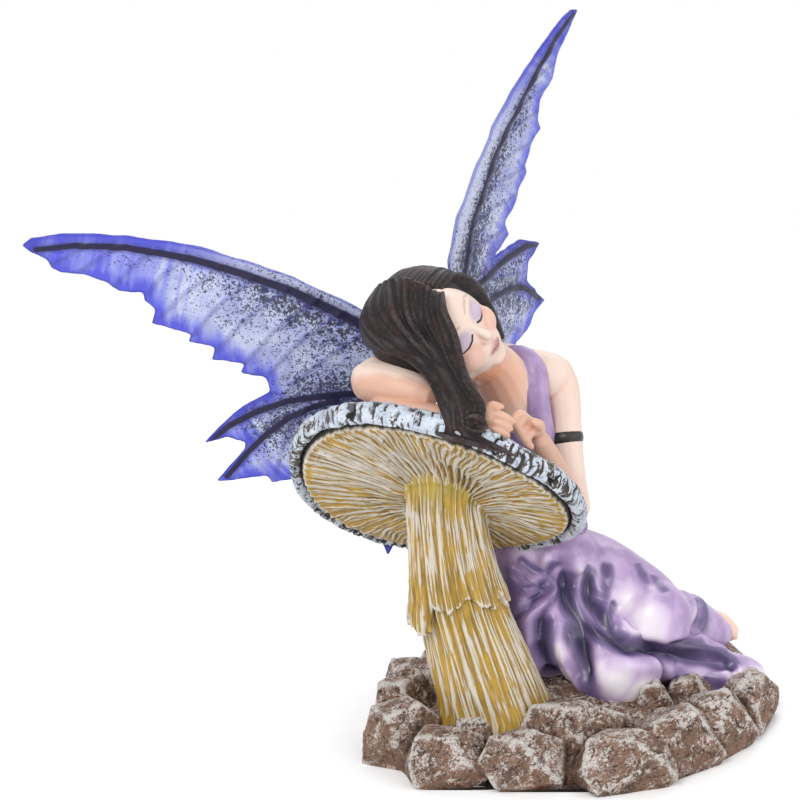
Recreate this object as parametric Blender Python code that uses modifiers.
"""Painted cast figurine: a fairy asleep over a tilted mushroom on a ring of cobbles.

The stones, the mushroom and the fairy are one casting. Each pair of wings is a second casting with a
root boss and a round tenon that is glued into a socket in her back. Metres, +Z up, underside at z = 0.
"""
import math
import random

import bmesh
import bpy
import numpy as np
from mathutils import Matrix, Vector

MM = 0.001

# Cobble base
BASE_HALF_LENGTH = 46.0 * MM
BASE_HALF_DEPTH = 31.0 * MM
BASE_CENTRE = (0.0, -6.0 * MM)
BASE_TURN = math.radians(12.0)
STONE_HEIGHT = 13.5 * MM
STONE_LENGTH = 17.5 * MM

# Mushroom
CAP_CENTRE = Vector((-31.5, -9.0, 54.5)) * MM
CAP_TILT = math.radians(46.0)
CAP_TURN = math.radians(70.4)
CAP_RADIUS = 32.1 * MM
CAP_RIM = 4.6 * MM
CAP_HEIGHT = 11.3 * MM
GILL_COUNT = 48
GILL_DEPTH = 1.1 * MM
GILL_RADIUS = 0.895 * CAP_RADIUS
STEM_FOOT = Vector((-16.7, -11.5, 0.0)) * MM
STEM_TOP = Vector((-28.2, -10.0, 54.0)) * MM
STEM_RADIUS = 8.1 * MM
STEM_FOOT_RADIUS = 12.0 * MM
STEM_FLUTES = 18
# Share of the stem's height, and how far its middle has moved from foot to top there
STEM_LEAN = [(0.0, 0.0), (0.148, 0.05), (0.296, 0.27), (0.444, 0.496), (0.574, 0.687), (0.704, 0.817), (0.852, 0.922), (1.0, 1.0)]
VEIL_HEIGHT = 30.2 * MM
VEIL_RADIUS = 10.3 * MM

# Fairy
HEAD_CENTRE = Vector((-29.4, -12.5, 91.5)) * MM
HEAD_RADIUS = 11.6 * MM
HAIR_RADIUS = 13.0 * MM
CHEST_RADIUS = 8.6 * MM
WAIST_RADIUS = 6.6 * MM
HIP_RADIUS = 11.0 * MM
UPPER_ARM_RADIUS = 3.9 * MM
FOLD_SHARE = 1.0
WRIST_RADIUS = 2.3 * MM
STRAND_RADIUS = 1.4 * MM

# Wings
WING_ORIGIN = Vector((-26.0, 14.0, 82.0)) * MM
ROOT_REACH = 3.6 * MM
WING_THICKNESS = 1.3 * MM
WING_BOW = 2.0 * MM
RIB_RADIUS = 0.95 * MM
BOSS_RADIUS = 2.5 * MM
TENON_RADIUS = 1.4 * MM
TENON_LENGTH = 6.0 * MM
GLUE_GAP = 0.3 * MM

# Mesh sizes
FIGURE_CELL = 0.62 * MM
FIGURE_FACES = 3410

for old in list(bpy.data.objects):
    bpy.data.objects.remove(old, do_unlink=True)

parts = bpy.data.collections.new("sleeping fairy figurine")
tools = bpy.data.collections.new("cutters")
bpy.context.scene.collection.children.link(parts)
bpy.context.scene.collection.children.link(tools)


def paint(name, colour, roughness):
    """Return one Principled material."""
    material = bpy.data.materials.new(name)
    material.use_nodes = True
    shader = material.node_tree.nodes["Principled BSDF"]
    shader.inputs["Base Color"].default_value = (*colour, 1.0)
    shader.inputs["Roughness"].default_value = roughness
    return material


def make_object(name, mesh, collection=None):
    """Link a new object that holds the mesh."""
    made = bpy.data.objects.new(name, mesh)
    (collection or parts).objects.link(made)
    return made


def helper(name, mesh):
    """Link an object that only shapes another one."""
    made = make_object(name, mesh, tools)
    made.hide_render = True
    made.display_type = "WIRE"
    return made


def baked(made):
    """Replace the object's mesh by what its modifiers give."""
    bpy.context.view_layer.update()
    graph = bpy.context.evaluated_depsgraph_get()
    mesh = bpy.data.meshes.new_from_object(made.evaluated_get(graph))
    made.modifiers.clear()
    made.data = mesh
    return made


def combine(made, other, operation="UNION", own=False):
    """Apply one exact Boolean to the object and remove the other one."""
    step = made.modifiers.new(operation.lower(), "BOOLEAN")
    step.operation = operation
    step.solver = "EXACT"
    step.use_self = own
    step.object = other
    baked(made)
    bpy.data.objects.remove(other, do_unlink=True)
    return made


def clean(made, distance=0.0000002):
    """Cut every face into triangles and drop slivers."""
    bm = bmesh.new()
    bm.from_mesh(made.data)
    bmesh.ops.dissolve_degenerate(bm, edges=bm.edges, dist=distance)
    bmesh.ops.triangulate(bm, faces=bm.faces)
    bm.to_mesh(made.data)
    bm.free()


def flatten_underside(made):
    """Cut the mesh off at z = 0 and close it with a flat face."""
    bm = bmesh.new()
    bm.from_mesh(made.data)
    bmesh.ops.triangulate(bm, faces=bm.faces)
    everything = bm.verts[:] + bm.edges[:] + bm.faces[:]
    cut = bmesh.ops.bisect_plane(bm, geom=everything, plane_co=(0, 0, 0), plane_no=(0, 0, 1), clear_inner=True, dist=1e-8)
    rim = [item for item in cut["geom_cut"] if isinstance(item, bmesh.types.BMEdge)]
    bmesh.ops.triangle_fill(bm, use_beauty=True, edges=rim, normal=(0, 0, -1))
    for vertex in bm.verts:
        if abs(vertex.co.z) < 1e-7:
            vertex.co.z = 0.0
    bmesh.ops.recalc_face_normals(bm, faces=bm.faces)
    bm.to_mesh(made.data)
    bm.free()


def cap_axes():
    """Return the directions uphill, sideways and out of the cap's top."""
    out = Vector((
        math.sin(CAP_TILT) * math.cos(CAP_TURN),
        math.sin(CAP_TILT) * math.sin(CAP_TURN),
        math.cos(CAP_TILT),
    ))
    side = Vector((math.sin(CAP_TURN), -math.cos(CAP_TURN), 0.0))
    uphill = side.cross(out)
    return uphill, side, out


UPHILL, SIDE, OUT = cap_axes()


def on_cap(uphill, side, out):
    """Return a place from its millimetres uphill, sideways and above the rim's plane."""
    return CAP_CENTRE + (UPHILL * uphill + SIDE * side + OUT * out) * MM


def at(x, y, z):
    """Return a place given in millimetres."""
    return Vector((x, y, z)) * MM


def add_ball(bm, centre, radii, axes=None, segments=28, rings=16):
    """Add an ellipsoid whose three radii lie along the axes."""
    frame = Matrix.Identity(4)
    if axes:
        frame = Matrix((axes[0], axes[1], axes[2])).transposed().to_4x4()
    place = Matrix.Translation(centre) @ frame @ Matrix.Diagonal((*radii, 1.0))
    bmesh.ops.create_uvsphere(bm, u_segments=segments, v_segments=rings, radius=1.0, matrix=place)


def add_limb(bm, places, radii, sides=10, steps=6):
    """Add a round tapered tube through the places, closed by a ball at each end."""
    path = smooth_path(list(zip(places, radii)), steps)
    rings = []
    normal = None
    for index, (place, radius) in enumerate(path):
        before = path[max(index - 1, 0)][0]
        after = path[min(index + 1, len(path) - 1)][0]
        along = (after - before).normalized()
        if normal is None:
            normal = along.orthogonal().normalized()
        normal = (normal - along * normal.dot(along)).normalized()
        across = along.cross(normal)
        ring = []
        for side in range(sides):
            angle = math.tau * side / sides
            offset = (normal * math.cos(angle) + across * math.sin(angle)) * radius
            ring.append(bm.verts.new(place + offset))
        rings.append(ring)
    for low, high in zip(rings, rings[1:]):
        for side in range(sides):
            following = (side + 1) % sides
            bm.faces.new((low[side], low[following], high[following], high[side]))
    bm.faces.new(list(reversed(rings[0])))
    bm.faces.new(rings[-1])
    for place, radius in (path[0], path[-1]):
        add_ball(bm, place, (radius, radius, radius), segments=sides, rings=6)


def smooth_path(knots, steps):
    """Return places and radii on a smooth curve through the knots."""
    path = []
    last = len(knots) - 1
    for index in range(last):
        before = knots[max(index - 1, 0)]
        start = knots[index]
        end = knots[index + 1]
        after = knots[min(index + 2, last)]
        for step in range(steps):
            t = step / steps
            place = bend(before[0], start[0], end[0], after[0], t)
            radius = bend(before[1], start[1], end[1], after[1], t)
            path.append((place, max(radius, 0.2 * MM)))
    path.append(knots[-1])
    return path


def bend(before, start, end, after, t):
    """Return the Catmull-Rom blend of four values."""
    slope_in = (end - before) * 0.5
    slope_out = (after - start) * 0.5
    t2 = t * t
    t3 = t2 * t
    held = start * (2 * t3 - 3 * t2 + 1) + end * (3 * t2 - 2 * t3)
    return held + slope_in * (t3 - 2 * t2 + t) + slope_out * (t3 - t2)


def to_mesh(bm, name):
    """Turn a bmesh into a mesh with its faces outwards."""
    bmesh.ops.recalc_face_normals(bm, faces=bm.faces)
    mesh = bpy.data.meshes.new(name)
    bm.to_mesh(mesh)
    bm.free()
    return mesh


def screw(name, profile, count):
    """Turn a closed half profile of (radius, height) about the Z axis."""
    bm = bmesh.new()
    bottom = bm.verts.new((0.0, 0.0, profile[0][1]))
    top = bm.verts.new((0.0, 0.0, profile[-1][1]))
    rings = []
    for radius, height in profile[1:-1]:
        ring = []
        for step in range(count):
            angle = math.tau * step / count
            ring.append(bm.verts.new((radius * math.cos(angle), radius * math.sin(angle), height)))
        rings.append(ring)
    for low, high in zip(rings, rings[1:]):
        for step in range(count):
            following = (step + 1) % count
            bm.faces.new((low[step], low[following], high[following], high[step]))
    for step in range(count):
        following = (step + 1) % count
        bm.faces.new((bottom, rings[0][following], rings[0][step]))
        bm.faces.new((top, rings[-1][step], rings[-1][following]))
    return bm, rings


def build_core():
    """Mound of mortar that joins the stones."""
    bm = bmesh.new()
    radii = (BASE_HALF_LENGTH * 0.848, BASE_HALF_DEPTH * 0.855, STONE_HEIGHT * 0.785)
    turned = (
        Vector((math.cos(BASE_TURN), math.sin(BASE_TURN), 0.0)),
        Vector((-math.sin(BASE_TURN), math.cos(BASE_TURN), 0.0)),
        Vector((0.0, 0.0, 1.0)),
    )
    centre = Vector((BASE_CENTRE[0], BASE_CENTRE[1], 0.5 * MM))
    add_ball(bm, centre, radii, turned, segments=28, rings=10)
    return make_object("fairy_and_mushroom", to_mesh(bm, "core"))


STONES = [
    # x, y, turn, length, width, height of each cobble, in millimetres and degrees
    (-37.0, -20.5, 62, 16.0, 14.0, 13.0), (-28.0, -29.5, 12, 17.0, 13.5, 10.6), (-12.0, -30.8, -3, 18.5, 13.0, 11.0),
    (-1.0, -22.0, -14, 23.0, 14.0, 13.6), (9.3, -31.3, 12, 20.5, 14.0, 11.3), (21.0, -24.5, 34, 18.5, 13.5, 13.0),
    (31.0, -16.0, 44, 16.5, 13.5, 13.0), (39.3, -4.5, 62, 15.0, 11.0, 12.0), (17.5, -10.5, 28, 9.5, 8.0, 13.0),
    (-36.5, -7.0, 84, 14.0, 12.5, 13.8), (-34.0, 7.0, 112, 16.0, 13.0, 12.5), (-24.0, 17.0, 142, 17.0, 13.0, 13.0),
    (-9.0, 22.0, 170, 17.5, 13.0, 12.5), (7.5, 24.5, 184, 17.5, 13.0, 12.5), (23.0, 23.0, 200, 17.0, 13.0, 12.5),
    (36.0, 14.5, 232, 16.0, 12.5, 12.0), (26.0, -4.0, 20, 12.0, 10.0, 11.0), (-21.0, -20.5, 20, 12.0, 9.0, 10.0),
]
def cobble(chance, long, wide, high):
    """Return the corners of one angular stone that stands at the origin, in millimetres."""
    found = []
    for index in range(30):
        z = 1.0 - (2.0 * index + 1.0) / 30.0
        turn = index * 2.399963 + chance.uniform(-0.25, 0.25)
        flat = math.sqrt(1.0 - z * z)
        x = flat * math.cos(turn)
        y = flat * math.sin(turn)
        square = (abs(x) ** 3.4 + abs(y) ** 3.4 + abs(z) ** 3.4) ** (-1.0 / 3.4)
        square *= chance.uniform(0.93, 1.05)
        lean = 1.0 - 0.14 * z
        found.append(Vector((
            x * square * lean * long * 0.52, y * square * lean * wide * 0.52, high * (0.36 + 0.64 * z * square))))
    return found


def build_stones():
    """Ring of angular, uneven cobbles around the mound."""
    chance = random.Random(7)
    bm = bmesh.new()
    grow = STONE_LENGTH / (17.5 * MM)
    stretch_x = BASE_HALF_LENGTH / (46.0 * MM)
    stretch_y = BASE_HALF_DEPTH / (31.0 * MM)
    for x, y, turn, long, wide, high in STONES:
        hull = bmesh.new()
        for corner in cobble(chance, long * grow, wide * grow, high * STONE_HEIGHT / (13.5 * MM)):
            hull.verts.new(corner * MM)
        made = bmesh.ops.convex_hull(hull, input=hull.verts)
        loose = [item for item in made["geom_interior"] if isinstance(item, bmesh.types.BMVert)]
        bmesh.ops.delete(hull, geom=loose, context="VERTS")
        place = Matrix.Translation(at(x * stretch_x, y * stretch_y, 0.0)) @ Matrix.Rotation(math.radians(turn), 4, "Z")
        bmesh.ops.transform(hull, matrix=place, verts=hull.verts)
        bm.from_mesh(to_mesh(hull, "stone"))
    return helper("stones", to_mesh(bm, "stones"))


def stem_centre(height):
    """Return the stem's middle at a height: it leans over to meet the cap."""
    t = min(max(height / STEM_TOP.z, 0.0), 1.0)
    share = 1.0
    for (low, before), (high, after) in zip(STEM_LEAN, STEM_LEAN[1:]):
        if low <= t <= high:
            share = before + (after - before) * (t - low) / (high - low)
    x = STEM_FOOT.x + (STEM_TOP.x - STEM_FOOT.x) * share
    y = STEM_FOOT.y + (STEM_TOP.y - STEM_FOOT.y) * share
    return x, y
    return x, y


def cap_plane(x, y):
    """Return the height of the gills' plane over a place."""
    return CAP_CENTRE.z - (OUT.x * (x - CAP_CENTRE.x) + OUT.y * (y - CAP_CENTRE.y)) / OUT.z


def build_stem():
    """Fluted stem with a torn veil hanging from its upper half, up into the gills."""
    foot = STEM_FOOT_RADIUS
    r = STEM_RADIUS
    edge = VEIL_HEIGHT
    profile = [
        (0.0, 1.0 * MM),
        (foot * 1.075, 1.0 * MM),
        (foot * 1.01, 4.0 * MM),
        (foot * 0.99, 8.0 * MM),
        (foot * 0.92, 16.7 * MM),
        (foot * 0.85, 23.0 * MM),
        (foot * 0.78, edge + 1.0 * MM),
        (VEIL_RADIUS, edge),
        (VEIL_RADIUS * 0.99, edge + 1.5 * MM),
        (r * 1.24, 37.0 * MM),
        (r * 1.08, 43.0 * MM),
        (r * 0.99, 48.5 * MM),
        (r * 0.93, 54.0 * MM),
        (0.0, CAP_CENTRE.z + 1.0 * MM),
    ]
    count = STEM_FLUTES * 2
    bm, rings = screw("stem", profile, count)
    for level, ring in enumerate(rings):
        for step, vertex in enumerate(ring):
            turn = step / count
            angle = math.tau * turn
            depth = 0.955 if step % 2 else 1.02
            flap = 7.0 * MM if 0.45 < turn < 0.65 else 0.0
            torn = 1.2 * math.sin(2 * angle + 0.6) + (1.6 if step % 2 else -1.2)
            low = edge + (0.0 if flap else torn * MM) - flap
            height = vertex.co.z
            if level == 4:
                height = min(height, low - 1.5 * MM)
            elif level in (5, 6, 7):
                height = low + (profile[level + 1][1] - edge)
            elif level == 11:
                top_x, top_y = stem_centre(STEM_TOP.z)
                height = cap_plane(top_x + r * math.cos(angle), top_y + r * math.sin(angle)) + 1.6 * MM
            wide = 1.0
            if flap and level in (6, 7):
                wide = 1.16
            elif flap and level == 8:
                wide = 1.08
            vertex.co = Vector((vertex.co.x * depth * wide, vertex.co.y * depth * wide, height))
    # Rings 8 to 10 share out the height between the veil's edge and the gills
    for step in range(count):
        low = rings[7][step].co.z
        high = rings[11][step].co.z
        for level, share in ((8, 0.28), (9, 0.55), (10, 0.80)):
            rings[level][step].co.z = low + (high - low) * share
    for vertex in bm.verts:
        x, y = stem_centre(vertex.co.z)
        vertex.co.x += x
        vertex.co.y += y
    return helper("stem", to_mesh(bm, "stem"))


def build_cap():
    """Tilted, slightly warped cap: domed top, turned rim and radial gills below."""
    r = CAP_RADIUS
    profile = [
        (0.0, 1.2 * MM),
        (0.2 * r, -0.1 * MM),
        (GILL_RADIUS, 0.1 * MM),
        (GILL_RADIUS + 0.7 * MM, 1.8 * MM),
        (0.935 * r, 0.8 * MM),
        (0.972 * r, 0.0),
        (1.004 * r, 1.5 * MM),
        (1.006 * r, CAP_RIM * 0.75),
        (0.985 * r, CAP_RIM),
        (0.9 * r, CAP_RIM + 1.4 * MM),
        (0.6 * r, CAP_HEIGHT - 2.1 * MM),
        (0.25 * r, CAP_HEIGHT - 0.4 * MM),
        (0.0, CAP_HEIGHT),
    ]
    count = GILL_COUNT * 2
    bm, rings = screw("cap", profile, count)
    for step in range(count):
        if step % 2:
            rings[0][step].co.z += 0.4 * GILL_DEPTH
            rings[1][step].co.z += 0.7 * GILL_DEPTH
        else:
            rings[1][step].co.z -= 0.5 * GILL_DEPTH
    for vertex in bm.verts:
        reach = math.hypot(vertex.co.x, vertex.co.y)
        angle = math.atan2(vertex.co.y, vertex.co.x)
        factor = 0.017 * math.cos(2 * angle) + 0.045 * math.sin(2 * angle) + 0.034 * math.cos(3 * angle) - 0.007 * math.sin(3 * angle)
        share = min(max((reach / r - 0.1) / 0.8, 0.0), 1.0)
        lift = -0.65 * MM * (math.cos(2 * angle) + math.sin(2 * angle)) * min(max((reach / r - 0.2) / 0.8, 0.0), 1.0)
        vertex.co = Vector((vertex.co.x * (1.0 + factor * share), vertex.co.y * (1.0 + factor * share), vertex.co.z + lift))
    place = Matrix((SIDE, UPHILL, OUT)).transposed().to_4x4()
    bmesh.ops.transform(bm, matrix=Matrix.Translation(CAP_CENTRE) @ place, verts=bm.verts)
    return helper("cap", to_mesh(bm, "cap"))


def head_axes():
    """Return the head's directions: to its left ear, forwards out of the face and up to the crown."""
    up = Vector((-0.72, -0.302, 0.624)).normalized()
    face = Vector((0.60, -0.72, 0.339))
    face = (face - up * face.dot(up)).normalized()
    return up.cross(face), face, up


def one_skin(made, rounds):
    """Grow overlapping forms together into one closed, softened skin."""
    skin = made.modifiers.new("one skin", "REMESH")
    skin.mode = "VOXEL"
    skin.voxel_size = FIGURE_CELL
    soften = made.modifiers.new("soften", "SMOOTH")
    soften.factor = 0.5
    soften.iterations = rounds
    return baked(made)


def build_figure():
    """Head, hair, arms, body and skirt, grown together into one skin."""
    bm = bmesh.new()
    ear, face, up = head_axes()
    head = HEAD_CENTRE
    r = HEAD_RADIUS
    # The bare head: skull, jaw, chin, cheeks, nose and lips
    for centre, radii in (
        ((0, 0, 0), (0.86, 0.96, 1.08)),
        ((0, 0.32, -0.50), (0.56, 0.58, 0.56)),
        ((0, 0.66, -0.90), (0.20, 0.18, 0.16)),
        ((0.36, 0.60, -0.32), (0.32, 0.28, 0.30)),
        ((-0.36, 0.60, -0.32), (0.32, 0.28, 0.30)),
        ((0, 1.0, -0.24), (0.10, 0.13, 0.22)),
        ((0, 0.84, -0.62), (0.22, 0.11, 0.08)),
    ):
        place = head + (ear * centre[0] + face * centre[1] + up * centre[2]) * r
        add_ball(bm, place, [radius * r for radius in radii], (ear, face, up))
    # Hair: a mass behind the brow, then locks over and past it
    hair = HAIR_RADIUS
    crown = head - face * 0.27 * hair + up * 0.154 * hair + ear * 0.06 * hair
    add_ball(bm, crown, (1.06 * hair, 1.09 * hair, 1.15 * hair), (ear, face, up))
    add_limb(bm, (at(-35, -13, 92), at(-30.5, -20, 87), at(-27, -25, 82), at(-25.2, -29, 78)), (8.0 * MM, 6.4 * MM, 4.6 * MM, 2.6 * MM))
    add_limb(bm, (at(-32, -2, 92), at(-26, 3, 87), at(-22, 7, 81), at(-20, 9, 77)), (8.0 * MM, 6.6 * MM, 6.0 * MM, 4.0 * MM))
    build_strands(bm)
    # Neck, chest, waist and hips
    add_limb(bm, (head - up * 0.6 * r - face * 0.1 * r, at(-17, 2, 79)), (4.6 * MM, 5.0 * MM))
    add_limb(
        bm,
        (at(-19.5, 6.0, 78.5), at(-10.5, 7.5, 66.0), at(-6, 13, 45), at(-3, 13, 30)),
        (CHEST_RADIUS * 0.93, CHEST_RADIUS, WAIST_RADIUS * 1.17, HIP_RADIUS * 0.955),
        sides=16,
    )
    add_limb(bm, (at(-15.5, 5.6, 82.0), at(-10, 2, 80), at(-8.4, -1.3, 74), at(-6, 4, 56)), (1.5 * MM, 2.4 * MM, 2.8 * MM, 4 * MM))
    build_arms(bm)
    build_skirt(bm)
    # Her foot shows past the hem
    add_limb(bm, (at(31, 19, 11.5), at(35.5, 20.5, 11.8), at(39.2, 20.0, 10.2)), (3.2 * MM, 3.4 * MM, 2.4 * MM))
    figure = helper("figure", to_mesh(bm, "figure"))
    one_skin(figure, 4)
    crease_skirt(figure)
    one_skin(figure, 2)
    count = sum(len(face.vertices) - 2 for face in figure.data.polygons)
    thin = figure.modifiers.new("fewer faces", "DECIMATE")
    thin.ratio = FIGURE_FACES / count
    thin.use_collapse_triangulate = True
    return baked(figure)


def build_strands(bm):
    """Sculpted locks: swept back over the crown, down over the cheek and out along the rim."""
    thick = STRAND_RADIUS
    upper = [(-26.7, -19, 101.4), (-26.4, -24.4, 97.4), (-25.9, -26.6, 93.1), (-24.4, -27.5, 88.5), (-22.0, -28.2, 84.1), (-20.8, -29, 80.0), (-21.8, -30.4, 77.2)]
    lower = [(-45.1, -4, 95.3), (-45.2, -9, 91.3), (-42.5, -14, 88.2), (-37.2, -20, 86.4), (-32.8, -24.5, 83.4), (-30.4, -28, 79.1), (-28.5, -31, 76.3)]
    locks = []
    for index in range(6):
        share = index / 5.0
        path = [Vector(high).lerp(Vector(low), share) for high, low in zip(upper, lower)]
        if 0 < index < 5:
            path[1:4] = [place + Vector((-0.4, -1.2, 1.1)) for place in path[1:4]]
        locks.append((path, 1.15))
    locks += [
        ([(-24, -27.6, 82), (-20.5, -29.2, 78.5), (-18.8, -29.6, 79.8), (-21.5, -30, 79.6)], 1.0),
        ([(-25, -29.5, 78.5), (-21.5, -31.8, 75.4), (-17, -32.0, 73.6), (-12.5, -31.0, 70.8)], 0.6),
        ([(-21, -30.5, 78), (-17, -31.6, 75.4), (-12.5, -31.0, 72.2), (-8.0, -29.5, 68.4)], 0.45),
        ([(-24, 4, 96), (-19, 4, 90), (-15.5, 5, 85), (-12.5, 7, 80)], 1.5),
        ([(-29, 4, 95), (-24, 6, 88), (-19.5, 9, 82), (-16, 12, 76)], 1.9),
        ([(-34, 3, 93), (-31, 6, 87), (-27, 9, 81), (-23, 12, 75)], 1.9),
        ([(-20, -1, 95), (-16, 0, 90), (-13, 2, 85.5), (-11.5, 4.5, 82)], 1.15),
    ]
    for places, size in locks:
        radii = [thick * size * (0.6 if i in (0, len(places) - 1) else 1.0) for i in range(len(places))]
        add_limb(bm, [at(*place) for place in places], radii, sides=8, steps=4)


def build_arms(bm):
    """Shoulders and both arms, laid on the cap under the head."""
    upper = UPPER_ARM_RADIUS
    wrist = WRIST_RADIUS
    add_limb(bm, (at(-29, 4, 79), at(-18, 7, 78), at(-10, 6.5, 78.2), at(-4.6, 6, 77.6)), (4.4 * MM, 6.2 * MM, 4.6 * MM, 4 * MM))
    add_limb(bm, (at(-22, 0, 83), at(-17.5, 0, 80.5), at(-14.5, 1.5, 75), at(-12, 3.5, 70)), (4.6 * MM, 5.4 * MM, 6.4 * MM, 6.6 * MM))
    # Her right arm: elbow out to the left, hand forward to the rim
    add_limb(
        bm,
        (at(-29, 4, 79), at(-33.5, -4, 80), at(-38.5, -9, 80.3), at(-42.6, -11.8, 79.9), at(-41.4, -16.6, 77.9),
         at(-36.4, -20.6, 77.4), at(-30, -23.0, 77.6), at(-23, -24.4, 77.8)),
        (upper * 1.08, upper * 1.18, upper * 1.23, upper * 1.1, upper * 0.95, upper * 0.82, wrist * 1.2, wrist),
    )
    add_ball(bm, at(-20.4, -25.0, 78.1), (2.6 * MM, 2.3 * MM, 2.0 * MM), (SIDE, UPHILL, OUT))
    add_limb(bm, (at(-20.4, -25, 77.6), at(-18.2, -26.3, 77.4), at(-15.6, -26.6, 76.2)), (2.0 * MM, 1.6 * MM, 1.1 * MM))
    # Her left arm: down past the cap's edge to the elbow and back up to a loose fist
    add_limb(
        bm,
        (at(-5.2, 6.2, 77.4), at(-3.2, 4.8, 73.5), at(-2.0, 1.2, 64.5), at(-1.0, -3, 56.3), at(-0.2, -7.4, 51.6),
         at(-3.2, -11.2, 57.5), at(-6.4, -15.6, 65.0), at(-9.2, -19.6, 71.2)),
        (upper * 1.03, upper * 0.92, upper * 0.86, upper * 0.85, upper * 0.8, upper * 0.76, wrist * 1.1, wrist * 0.92),
    )
    add_ball(bm, at(-11.4, -22.2, 74.4), (2.9 * MM, 3.1 * MM, 2.8 * MM), (SIDE, UPHILL, OUT))


def build_skirt(bm):
    """Skirt over the folded legs, running out in a tail to the base's right edge."""
    add_limb(bm, (at(-3, 13, 28), at(9, 10, 25.5), at(19.5, 5.5, 22)), (12.0 * MM, 10.6 * MM, 7.6 * MM), sides=16)
    add_limb(bm, (at(20, 9, 19), at(29, 15, 14), at(35, 18, 11)), (7.8 * MM, 6.6 * MM, 4.4 * MM), sides=12)
    add_limb(bm, (at(-4, 8, 22), at(3, 1, 18), at(8.5, -4.0, 15)), (11.4 * MM, 9.6 * MM, 8.8 * MM), sides=16)
    add_limb(bm, (at(15, 1, 15), at(24, 3, 12), at(33, 5, 9), at(41, 4.5, 6)), (7.2 * MM, 6.2 * MM, 4.8 * MM, 2.6 * MM))
    add_ball(bm, at(34.0, 5.0, 6.5), (11.0 * MM, 8.6 * MM, 4.6 * MM))
    add_limb(bm, (at(-9, 9, 37), at(-9, 5, 29), at(-6, 1, 18)), (5.5 * MM, 7.5 * MM, 9.0 * MM), sides=14)
    add_ball(bm, at(-3, 8, 35), (9.5 * MM, 8.0 * MM, 6.0 * MM))
    add_ball(bm, at(18.6, 2.6, 22.6), (8.6 * MM, 8.0 * MM, 7.4 * MM))


SKIRT_FOLDS = [
    # Crease paths in millimetres, with the depth and the half width of the crease
    ([(10.6, -0.2, 27.2), (9.0, -2.4, 24.9), (9.2, -6.2, 23.6), (11.4, -8.4, 21.1), (16.9, -5.2, 17.9)], 0.9, 0.9),
    ([(4.9, 3.7, 35.5), (3.5, 1.2, 31.0), (3.8, -2.2, 27.1), (5.6, -5.9, 24.5), (8.2, -8.4, 22.5), (12.3, -9.5, 19.6), (16.9, -5.7, 17.2),
      (23.2, -3.3, 15.3), (28.2, -1.4, 13.7), (34.8, 2.6, 12.6)], 2.3, 1.6),
    ([(-0.3, 1.4, 37.9), (-1.4, 0.2, 35.0), (-1.5, 0.7, 30.3), (-0.6, -2.7, 27.3), (1.6, -6.1, 24.0), (2.2, -8.3, 21.5), (1.8, -9.7, 17.7),
      (3.4, -10.5, 13.7), (5.6, -9.8, 9.6)], 2.2, 1.7),
    ([(-5.8, -4.5, 26.6), (-7.1, -6.6, 22.6), (-6.5, -7.1, 17.4), (-4.1, -4.8, 11.6), (-1.4, -4.0, 8.0)], 1.7, 1.3),
    ([(-1.5, -6.2, 22.4), (-1.0, -7.7, 18.5), (1.2, -9.1, 14.0), (3.9, -8.9, 10.3)], 0.7, 0.6),
    ([(17.2, -5.3, 17.4), (19.5, -5.0, 14.4), (19.8, -3.8, 10.2), (17.0, -4.0, 7.0)], 1.8, 1.3),
    ([(-2.6, 1.3, 38.1), (-3.4, 0.1, 34.6), (-6.4, -2.2, 30.6), (-10.5, -3.8, 27.3)], 1.3, 1.1),
    ([(-13.0, 1.6, 34.7), (-9.0, -1.6, 32.2), (-5.2, -1.3, 31.2)], 1.1, 0.9),
    ([(22.3, -4.0, 12.5), (27.7, -2.1, 12.0), (34.2, 0.9, 11.2), (37.3, 2.5, 10.8)], 1.5, 1.5),
    ([(20.3, -4.4, 19.4), (27.9, 0.9, 16.3), (34.0, 5.0, 14.0)], 0.8, 0.8),
    ([(27.5, 16.0, 23.0), (29.8, 12.7, 21.5), (29.2, 7.0, 18.6), (27.1, 1.4, 17.0)], 1.2, 1.0),
    ([(7.5, 5.0, 35.2), (7.1, 1.8, 32.2), (7.7, 0.4, 29.2)], 0.9, 1.0),
    ([(14.3, 3.6, 32.2), (15.3, 1.5, 30.0), (17.1, -1.6, 28.7)], 0.8, 0.9),
    ([(18.1, 3.2, 30.4), (19.4, -1.2, 29.0), (21.0, -2.2, 28.0)], 0.9, 0.9),
    ([(-14.1, -1.0, 28.2), (-9.2, -3.3, 29.2), (-6.0, -2.4, 30.0)], 0.8, 0.7),
    ([(-12.9, -3.6, 23.4), (-9.2, -4.1, 27.4), (-5.5, -2.3, 29.9)], 0.9, 0.8),
    ([(36.6, 2.2, 11.0), (36.9, -2.1, 8.7), (38.4, -2.5, 5.4)], 0.9, 0.8),
    ([(22.3, -2.6, 8.9), (29.0, -2.1, 7.9), (34.4, -3.4, 6.9)], 1.0, 1.0),
]


def path_distance(places, path):
    """Return each place's distance to a curve through the path, in millimetres."""
    points = [place for place, _ in smooth_path([(Vector(point), 1.0) for point in path], 5)]
    best = np.full(len(places), 1e9)
    for start, end in zip(points, points[1:]):
        start = np.array(start)
        along = np.array(end) - start
        reach = np.clip(((places - start) @ along) / max(along @ along, 1e-12), 0.0, 1.0)
        best = np.minimum(best, np.linalg.norm(places - start - reach[:, None] * along, axis=1))
    return best


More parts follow.
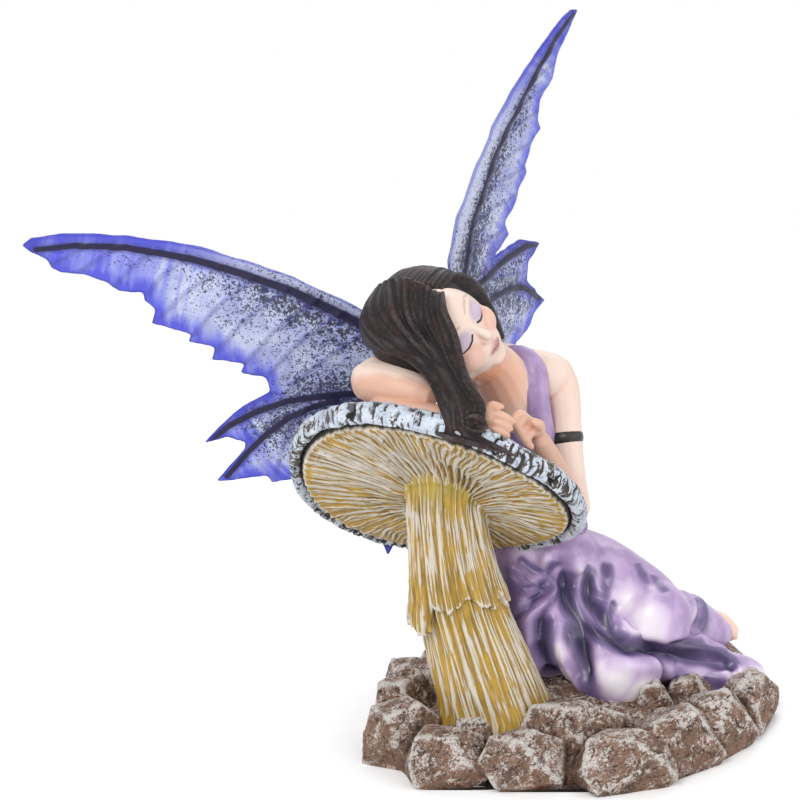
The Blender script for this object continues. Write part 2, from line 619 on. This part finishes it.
def crease_skirt(made):
    """Press the skirt's creases into the figure's skin and lift the cloth beside them."""
    count = len(made.data.vertices)
    places = np.empty(count * 3)
    outward = np.empty(count * 3)
    made.data.vertices.foreach_get("co", places)
    made.data.vertex_normals.foreach_get("vector", outward)
    places = places.reshape(-1, 3)
    outward = outward.reshape(-1, 3)
    amount = np.zeros(count)
    for path, depth, width in SKIRT_FOLDS:
        far = path_distance(places / MM, path)
        amount -= depth * FOLD_SHARE * np.exp(-(far / width) ** 2)
        amount += 0.45 * depth * FOLD_SHARE * np.exp(-((far - 2.3 * width) / (1.2 * width)) ** 2)
    places += outward * amount[:, None] * MM
    made.data.vertices.foreach_set("co", places.ravel())
    made.data.update()


# Blade outlines: millimetres outwards from the root and up from it
LEFT_OUTLINE = [
    (1.5, 3.5), (10.0, 4.0), (19.4, 7.5), (24.5, 10.5), (34.5, 15.6), (44.5, 19.6), (56.6, 23.4), (69.5, 25.6), (83.3, 26.2),
    (89.9, 25.2), (92.0, 23.6), (90.2, 21.8), (86.9, 20.2), (86.2, 18.2), (84.1, 17.0), (79.0, 16.4), (74.5, 14.5),
    (72.1, 12.4), (67.0, 12.2), (66.8, 10.0), (64.6, 7.9), (65.7, 4.4), (61.3, 3.0), (57.2, 1.8), (58.0, -0.1),
    (52.3, -1.5), (53.2, -4.6), (45.9, -5.6), (46.9, -7.8), (41.5, -8.9), (40.6, -12.6), (48.6, -17.8), (56.0, -25.8),
    (50.6, -24.1), (46.6, -25.4), (47.0, -27.4), (53.8, -35.7), (42.0, -34.2), (41.0, -36.1), (36.5, -35.2),
    (24.0, -41.5), (17.0, -48.5), (14.9, -55.4), (11.5, -48.0), (9.0, -30.0), (7.0, -16.0), (1.5, -5.0),
]
RIGHT_OUTLINE = [
    (1.0, 3.5), (-3.0, 12.0), (-4.4, 19.5), (-1.5, 29.1), (5.4, 38.7), (10.9, 46.3), (19.2, 53.3), (28.3, 59.8),
    (37.8, 65.8), (43.0, 67.9), (45.6, 67.6), (43.5, 64.4), (39.7, 60.0), (38.0, 56.8), (37.2, 53.1), (32.4, 49.1),
    (31.7, 44.5), (33.5, 42.2), (29.4, 38.9), (28.0, 34.6), (28.9, 33.0), (25.8, 29.8), (25.1, 27.5), (20.5, 23.0),
    (22.8, 19.6), (20.5, 18.6), (15.0, 15.5), (19.4, 16.4), (28.6, 17.4), (38.5, 14.5), (33.0, 11.3), (33.3, 6.8),
    (35.5, 5.0), (43.2, -0.4), (37.8, -2.6), (36.6, -4.8), (34.7, -5.8), (30.0, -7.5), (27.0, -16.0), (20.0, -30.0),
    (15.0, -36.0), (11.0, -26.0), (6.0, -12.0), (1.5, -4.0),
]
LEFT_RIBS = [
    ([(3.0, 1.0), (10.0, 1.8), (19.9, 4.4), (24.6, 7.0), (34.7, 12.4), (44.7, 16.4), (56.8, 20.4), (69.7, 22.9), (80.5, 23.6), (89.0, 22.6)], 1.15),
    ([(3.0, -3.0), (12.0, -9.5), (20.6, -12.6), (29.5, -13.6), (37.0, -14.8), (44.0, -17.6), (50.0, -21.0), (54.0, -24.6)], 0.9),
    ([(26.0, -14.4), (32.0, -16.6), (36.9, -19.2), (41.5, -23.0), (45.5, -27.2), (51.2, -34.2)], 0.8),
    ([(6.0, -9.0), (11.0, -22.0), (14.0, -38.0), (15.2, -52.0)], 0.8),
]
RIGHT_RIBS = [
    ([(1.5, 3.0), (1.0, 9.0), (3.0, 16.6), (4.0, 24.8), (8.4, 32.7), (12.6, 39.7), (16.7, 44.2), (26.7, 54.1), (35.0, 61.5), (43.6, 66.8)], 1.1),
    ([(4.0, 3.0), (10.8, 11.4), (22.0, 14.3), (31.7, 15.4), (36.5, 14.8)], 0.85),
    ([(8.0, 3.0), (17.2, 6.3), (24.4, 6.8), (32.0, 5.2), (40.5, 0.6)], 0.8),
    ([(4.0, -6.0), (9.0, -18.0), (14.5, -33.5)], 0.8),
]
LEFT_AXES = (Vector((-0.9988, 0.0499, 0.0)), Vector((-0.0098, -0.1958, 0.9806)))
RIGHT_AXES = (Vector((0.507, 0.862, 0.0)), Vector((0.044, -0.026, 0.9987)))


def build_wing(name, root, outline, ribs, axes, tenon_end):
    """Pair of blades with raised ribs, a root boss and a tenon for her back."""
    outward, upward = axes
    outward = outward.normalized()
    upward = (upward - outward * upward.dot(outward)).normalized()
    across = outward.cross(upward)

    def place(point, height=0.0):
        reach = math.hypot(*point) / 75.0
        bow = WING_BOW * reach * reach
        return WING_ORIGIN + outward * point[0] * MM + upward * point[1] * MM + across * (height - bow * side)

    side = 1.0 if across.y > 0.0 else -1.0
    bm = bmesh.new()
    half = 0.5 * WING_THICKNESS
    flat = [bm.verts.new((point[0], point[1], 0.0)) for point in outline]
    sheet = bm.faces.new(flat)
    bmesh.ops.triangulate(bm, faces=[sheet])
    bmesh.ops.subdivide_edges(
        bm, edges=[edge for edge in bm.edges if edge.calc_length() > 24.0], cuts=1, use_grid_fill=False)
    bmesh.ops.triangulate(bm, faces=bm.faces)
    top = {}
    bottom = {}
    corners = [tuple(vertex.co) for vertex in bm.verts]
    bm.verts.index_update()
    faces = [[vertex.index for vertex in face.verts] for face in bm.faces]
    border = [[vertex.index for vertex in edge.verts] for edge in bm.edges if len(edge.link_faces) == 1]
    bm.free()
    blade = bmesh.new()
    for index, corner in enumerate(corners):
        top[index] = blade.verts.new(place(corner[:2], half))
        bottom[index] = blade.verts.new(place(corner[:2], -half))
    for face in faces:
        blade.faces.new([top[index] for index in face])
        blade.faces.new([bottom[index] for index in reversed(face)])
    for first, second in border:
        blade.faces.new((top[first], top[second], bottom[second], bottom[first]))
    made = make_object(name, to_mesh(blade, name))
    for number, (points, size) in enumerate(ribs):
        rib = bmesh.new()
        count = len(points)
        radii = [RIB_RADIUS * size * (1.15 - 0.55 * index / (count - 1)) for index in range(count)]
        add_limb(rib, [place(point) for point in points], radii, sides=5, steps=1)
        tube = helper("rib", to_mesh(rib, "rib"))
        combine(made, tube, own=True)
    boss = bmesh.new()
    add_ball(boss, root, (BOSS_RADIUS, BOSS_RADIUS, BOSS_RADIUS * 1.35), (outward, across, upward), 12, 8)
    add_limb(boss, (root, tenon_end), (TENON_RADIUS, TENON_RADIUS), sides=12, steps=1)
    combine(made, helper("boss", to_mesh(boss, "boss")), own=True)
    return made


def socket(root, tenon_end, axes):
    """Space for a wing's boss and tenon, with room for glue."""
    outward, upward = axes
    across = outward.cross(upward)
    bm = bmesh.new()
    grow = GLUE_GAP
    radii = (BOSS_RADIUS + grow, BOSS_RADIUS + grow, BOSS_RADIUS * 1.35 + grow)
    add_ball(bm, root, radii, (outward, across, upward), 16, 10)
    along = (tenon_end - root).normalized()
    add_limb(bm, (root, tenon_end + along * grow), (TENON_RADIUS + grow, TENON_RADIUS + grow), sides=12, steps=1)
    return helper("socket", to_mesh(bm, "socket"))


body = build_core()
combine(body, build_stones(), own=True)
combine(body, build_stem(), own=True)
combine(body, build_cap())
combine(body, build_figure())
flatten_underside(body)

# The wings' tenons go into her back side by side
left_root = WING_ORIGIN + LEFT_AXES[0] * ROOT_REACH
right_root = WING_ORIGIN + RIGHT_AXES[0] * ROOT_REACH
left_tenon = left_root + Vector((0.75, -0.60, -0.30)).normalized() * (BOSS_RADIUS + TENON_LENGTH)
right_tenon = right_root + Vector((0.60, -0.75, -0.30)).normalized() * (BOSS_RADIUS + TENON_LENGTH)
left_wing = build_wing("left_wing", left_root, LEFT_OUTLINE, LEFT_RIBS, LEFT_AXES, left_tenon)
right_wing = build_wing("right_wing", right_root, RIGHT_OUTLINE, RIGHT_RIBS, RIGHT_AXES, right_tenon)
combine(body, socket(left_root, left_tenon, LEFT_AXES), "DIFFERENCE", own=True)
combine(body, socket(right_root, right_tenon, RIGHT_AXES), "DIFFERENCE", own=True)

for made, colour, roughness in (
    (body, (0.42, 0.36, 0.36), 0.6),
    (left_wing, (0.30, 0.30, 0.70), 0.45),
    (right_wing, (0.32, 0.32, 0.72), 0.45),
):
    clean(made)
    made.data.materials.clear()
    made.data.materials.append(paint(made.name + " paint", colour, roughness))
